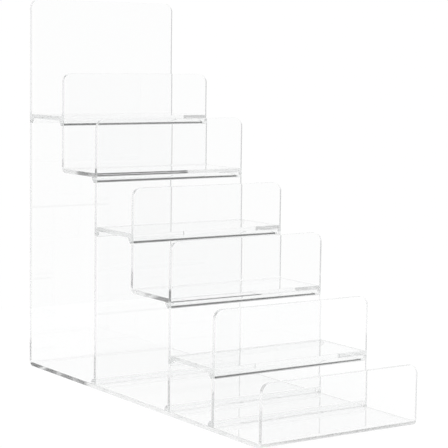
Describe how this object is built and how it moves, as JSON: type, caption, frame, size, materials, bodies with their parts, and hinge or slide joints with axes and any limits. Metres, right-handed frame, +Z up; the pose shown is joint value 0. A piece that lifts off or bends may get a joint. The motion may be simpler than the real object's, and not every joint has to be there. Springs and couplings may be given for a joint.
{
  "type": "nail polish rack",
  "caption": "Free-standing stepped display rack of clear bent and bonded acrylic sheet, with a raised back panel and a rounded lip along the front of each tier.",
  "frame": {"origin": "centre of the bounding box in plan, on the surface the rack stands on", "axes": "+Z up; +Y from the front lip to the back panel; +X along the tiers, to the right for someone facing the lips"},
  "size_m": [0.125, 0.3078, 0.2796],
  "materials": {
    "clear_acrylic_sheet": "clear polished acrylic sheet",
    "clear_acrylic_strip": "clear extruded acrylic corner strip"
  },
  "bodies": {
    "root": {"base_sheet_with_back_and_lip": "clear_acrylic_sheet", "upper_tray_bent_sheet": "clear_acrylic_sheet", "lower_tray_bent_sheet": "clear_acrylic_sheet", "tall_riser": "clear_acrylic_sheet", "middle_riser": "clear_acrylic_sheet", "short_riser": "clear_acrylic_sheet", "top_shelf": "clear_acrylic_sheet", "middle_shelf": "clear_acrylic_sheet", "bottom_shelf": "clear_acrylic_sheet", "floor_strip_behind_tall_riser": "clear_acrylic_strip", "floor_strip_behind_middle_riser": "clear_acrylic_strip", "floor_strip_behind_short_riser": "clear_acrylic_strip", "rear_strip_under_top_shelf": "clear_acrylic_strip", "rear_strip_under_middle_shelf": "clear_acrylic_strip", "rear_strip_under_bottom_shelf": "clear_acrylic_strip", "front_strip_under_top_shelf": "clear_acrylic_strip", "front_strip_under_upper_tray": "clear_acrylic_strip", "front_strip_under_middle_shelf": "clear_acrylic_strip", "front_strip_under_lower_tray": "clear_acrylic_strip", "front_strip_under_bottom_shelf": "clear_acrylic_strip"}
  },
  "joints": []
}
